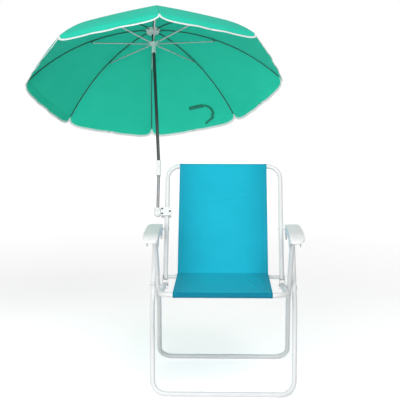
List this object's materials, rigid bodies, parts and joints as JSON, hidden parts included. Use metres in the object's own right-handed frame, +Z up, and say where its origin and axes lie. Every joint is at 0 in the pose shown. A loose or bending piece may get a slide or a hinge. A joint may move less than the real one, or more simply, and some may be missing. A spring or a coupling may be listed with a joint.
{
  "type": "umbrella chair",
  "caption": "Folding beach chair with a turquoise sling, white tube frame and moulded armrests, and a tilting green parasol clamped to its back.",
  "frame": {"origin": "middle of the footprint of the whole, on the ground", "axes": "+Z up, the chair faces -Y, +X is the sitter's left"},
  "size_m": [1.0786, 1.1702, 1.3839],
  "materials": {
    "white_tube": "white powder coat",
    "sling": "woven turquoise sling cloth",
    "white_plastic": "moulded white plastic",
    "plated_steel": "zinc plated steel",
    "dark_plastic": "black plastic",
    "grey_pole": "grey painted steel tube",
    "dark_pole": "dark grey painted steel tube",
    "rib_wire": "black painted steel wire",
    "stretcher_steel": "bright steel channel",
    "canopy_cloth": "thin green-turquoise nylon",
    "strap_cloth": "dark green strap"
  },
  "bodies": {
    "front_leg": {"front_leg_frame": "white_tube", "front_leg_plugs": "dark_plastic", "main_bolts": "plated_steel", "main_nuts": "plated_steel", "pivot_washers": "plated_steel"},
    "rear_leg": {"rear_leg_frame": "white_tube", "rear_leg_plugs": "dark_plastic", "arm_rivets": "plated_steel"},
    "seat": {"seat_frame": "white_tube", "hinge_brackets": "white_tube", "hinge_crossbar": "white_tube", "hinge_rivets": "plated_steel", "sling_seat": "sling"},
    "backrest": {"backrest_frame": "white_tube", "back_studs": "plated_steel", "clamp_body": "white_plastic", "clamp_jaw": "white_plastic", "clamp_screws": "plated_steel", "sling_back": "sling"},
    "arm_left": {"armrest_left": "white_plastic"},
    "arm_right": {"armrest_right": "white_plastic"},
    "pole_screw": {"pole_screw": "dark_plastic"},
    "lower_pole": {"lower_pole": "grey_pole"},
    "tilt_base": {"tilt_base": "white_plastic", "tilt_pin": "plated_steel"},
    "mast": {"tilt_head": "white_plastic", "upper_pole": "dark_pole", "crown": "white_plastic", "crown_cap": "white_plastic", "crown_wire": "plated_steel", "canopy": "canopy_cloth", "tie_strap": "strap_cloth"},
    "runner": {"runner": "white_plastic"},
    "runner_catch": {"runner_catch": "white_plastic"},
    "rib_1": {"rib_1": "rib_wire"},
    "stretcher_1": {"stretcher_1": "stretcher_steel"},
    "rib_2": {"rib_2": "rib_wire"},
    "stretcher_2": {"stretcher_2": "stretcher_steel"},
    "rib_3": {"rib_3": "rib_wire"},
    "stretcher_3": {"stretcher_3": "stretcher_steel"},
    "rib_4": {"rib_4": "rib_wire"},
    "stretcher_4": {"stretcher_4": "stretcher_steel"},
    "rib_5": {"rib_5": "rib_wire"},
    "stretcher_5": {"stretcher_5": "stretcher_steel"},
    "rib_6": {"rib_6": "rib_wire"},
    "stretcher_6": {"stretcher_6": "stretcher_steel"},
    "rib_7": {"rib_7": "rib_wire"},
    "stretcher_7": {"stretcher_7": "stretcher_steel"},
    "rib_8": {"rib_8": "rib_wire"},
    "stretcher_8": {"stretcher_8": "stretcher_steel"}
  },
  "joints": [
    {"name": "leg_fold", "type": "hinge", "parent": "front_leg", "child": "rear_leg", "pos_m": [0.25667, -0.33933, 0.342], "axis": [1, 0, 0], "range_deg": [-64, 0]},
    {"name": "seat_fold", "type": "hinge", "parent": "front_leg", "child": "seat", "pos_m": [0.25667, -0.33933, 0.342], "axis": [1, 0, 0], "range_deg": [0, 58.2]},
    {"name": "back_fold", "type": "hinge", "parent": "seat", "child": "backrest", "pos_m": [0.25667, -0.23933, 0.36], "axis": [1, 0, 0], "range_deg": [-62.2, 0]},
    {"name": "arm_lift_left", "type": "hinge", "parent": "rear_leg", "child": "arm_left", "pos_m": [0.25667, -0.47358, 0.52826], "axis": [1, 0, 0], "range_deg": [0, 95]},
    {"name": "arm_lift_right", "type": "hinge", "parent": "rear_leg", "child": "arm_right", "pos_m": [0.25667, -0.47358, 0.52826], "axis": [1, 0, 0], "range_deg": [0, 95]},
    {"name": "pole_lift", "type": "slide", "parent": "backrest", "child": "lower_pole", "axis": [0, 0.4384, 0.8988], "range_m": [0, 0.028]},
    {"name": "pole_swivel", "type": "hinge", "parent": "lower_pole", "child": "tilt_base", "pos_m": [-0.00033, -0.04426, 0.75996], "axis": [0, 0.4384, 0.8988], "continuous": true},
    {"name": "mast_tilt", "type": "hinge", "parent": "tilt_base", "child": "mast", "pos_m": [-0.00033, -0.04426, 0.75996], "axis": [0, -0.8988, 0.4384], "range_deg": [-3.8, 26]},
    {"name": "pole_screw_turn", "type": "hinge", "parent": "backrest", "child": "pole_screw", "pos_m": [-0.00033, -0.12448, 0.59548], "axis": [0, 0.8988, -0.4384], "continuous": true},
    {"name": "runner_slide", "type": "slide", "parent": "mast", "child": "runner", "axis": [0.0663, -0.4374, -0.8968], "range_m": [0, 0.3935], "deforming": ["canopy", "tie_strap"]},
    {"name": "catch_press", "type": "slide", "parent": "runner", "child": "runner_catch", "axis": [0, 0.8988, -0.4384], "range_m": [0, 0.0014], "stiffness_N_per_m": 400},
    {"name": "rib_1_turn", "type": "hinge", "parent": "mast", "child": "rib_1", "pos_m": [-0.03866, 0.2037, 1.31376], "axis": [0.993, 0.1166, 0.0165], "range_deg": [0, 60.5]},
    {"name": "stretcher_1_turn", "type": "hinge", "parent": "rib_1", "child": "stretcher_1", "pos_m": [-0.01268, -0.02564, 1.37124], "axis": [0.993, 0.1166, 0.0165], "range_deg": [-133.8, 0]},
    {"name": "rib_2_turn", "type": "hinge", "parent": "mast", "child": "rib_2", "pos_m": [-0.05327, 0.20727, 1.31094], "axis": [0.771, -0.548, 0.3243], "range_deg": [0, 60.5]},
    {"name": "stretcher_2_turn", "type": "hinge", "parent": "rib_2", "child": "stretcher_2", "pos_m": [-0.19713, 0.01947, 1.33561], "axis": [0.771, -0.548, 0.3243], "range_deg": [-133.8, 0]},
    {"name": "rib_3_turn", "type": "hinge", "parent": "mast", "child": "rib_3", "pos_m": [-0.06046, 0.2192, 1.30459], "axis": [0.0974, -0.8917, 0.4421], "range_deg": [0, 60.5]},
    {"name": "stretcher_3_turn", "type": "hinge", "parent": "rib_3", "child": "stretcher_3", "pos_m": [-0.28793, 0.17001, 1.25548], "axis": [0.0974, -0.8917, 0.4421], "range_deg": [-133.8, 0]},
    {"name": "rib_4_turn", "type": "hinge", "parent": "mast", "child": "rib_4", "pos_m": [-0.05602, 0.23249, 1.29844], "axis": [-0.6333, -0.713, 0.3009], "range_deg": [0, 60.5]},
    {"name": "stretcher_4_turn", "type": "hinge", "parent": "rib_4", "child": "stretcher_4", "pos_m": [-0.23189, 0.33779, 1.17778], "axis": [-0.6333, -0.713, 0.3009], "range_deg": [-133.8, 0]},
    {"name": "rib_5_turn", "type": "hinge", "parent": "mast", "child": "rib_5", "pos_m": [-0.04255, 0.23937, 1.29608], "axis": [-0.993, -0.1166, -0.0165], "range_deg": [0, 60.5]},
    {"name": "stretcher_5_turn", "type": "hinge", "parent": "rib_5", "child": "stretcher_5", "pos_m": [-0.06184, 0.42454, 1.14804], "axis": [-0.993, -0.1166, -0.0165], "range_deg": [-133.8, 0]},
    {"name": "rib_6_turn", "type": "hinge", "parent": "mast", "child": "rib_6", "pos_m": [-0.02794, 0.23579, 1.2989], "axis": [-0.771, 0.548, -0.3243], "range_deg": [0, 60.5]},
    {"name": "stretcher_6_turn", "type": "hinge", "parent": "rib_6", "child": "stretcher_6", "pos_m": [0.12262, 0.37943, 1.18368], "axis": [-0.771, 0.548, -0.3243], "range_deg": [-133.8, 0]},
    {"name": "rib_7_turn", "type": "hinge", "parent": "mast", "child": "rib_7", "pos_m": [-0.02074, 0.22387, 1.30525], "axis": [-0.0974, 0.8917, -0.4421], "range_deg": [0, 60.5]},
    {"name": "stretcher_7_turn", "type": "hinge", "parent": "rib_7", "child": "stretcher_7", "pos_m": [0.21342, 0.22889, 1.26381], "axis": [-0.0974, 0.8917, -0.4421], "range_deg": [-133.8, 0]},
    {"name": "rib_8_turn", "type": "hinge", "parent": "mast", "child": "rib_8", "pos_m": [-0.02518, 0.21057, 1.31141], "axis": [0.6333, 0.713, -0.3009], "range_deg": [0, 60.5]},
    {"name": "stretcher_8_turn", "type": "hinge", "parent": "rib_8", "child": "stretcher_8", "pos_m": [0.15738, 0.0611, 1.3415], "axis": [0.6333, 0.713, -0.3009], "range_deg": [-133.8, 0]}
  ],
  "couplings": [
    {"joint": "seat_fold", "follows": "leg_fold", "ratio": -0.90625},
    {"joint": "back_fold", "follows": "leg_fold", "ratio": 0.96875},
    {"joint": "rib_1_turn", "follows": "runner_slide", "rad_per_m": 2.6612},
    {"joint": "stretcher_1_turn", "follows": "runner_slide", "rad_per_m": -5.8991},
    {"joint": "rib_2_turn", "follows": "runner_slide", "rad_per_m": 2.6612},
    {"joint": "stretcher_2_turn", "follows": "runner_slide", "rad_per_m": -5.8991},
    {"joint": "rib_3_turn", "follows": "runner_slide", "rad_per_m": 2.6612},
    {"joint": "stretcher_3_turn", "follows": "runner_slide", "rad_per_m": -5.8991},
    {"joint": "rib_4_turn", "follows": "runner_slide", "rad_per_m": 2.6612},
    {"joint": "stretcher_4_turn", "follows": "runner_slide", "rad_per_m": -5.8991},
    {"joint": "rib_5_turn", "follows": "runner_slide", "rad_per_m": 2.6612},
    {"joint": "stretcher_5_turn", "follows": "runner_slide", "rad_per_m": -5.8991},
    {"joint": "rib_6_turn", "follows": "runner_slide", "rad_per_m": 2.6612},
    {"joint": "stretcher_6_turn", "follows": "runner_slide", "rad_per_m": -5.8991},
    {"joint": "rib_7_turn", "follows": "runner_slide", "rad_per_m": 2.6612},
    {"joint": "stretcher_7_turn", "follows": "runner_slide", "rad_per_m": -5.8991},
    {"joint": "rib_8_turn", "follows": "runner_slide", "rad_per_m": 2.6612},
    {"joint": "stretcher_8_turn", "follows": "runner_slide", "rad_per_m": -5.8991}
  ]
}
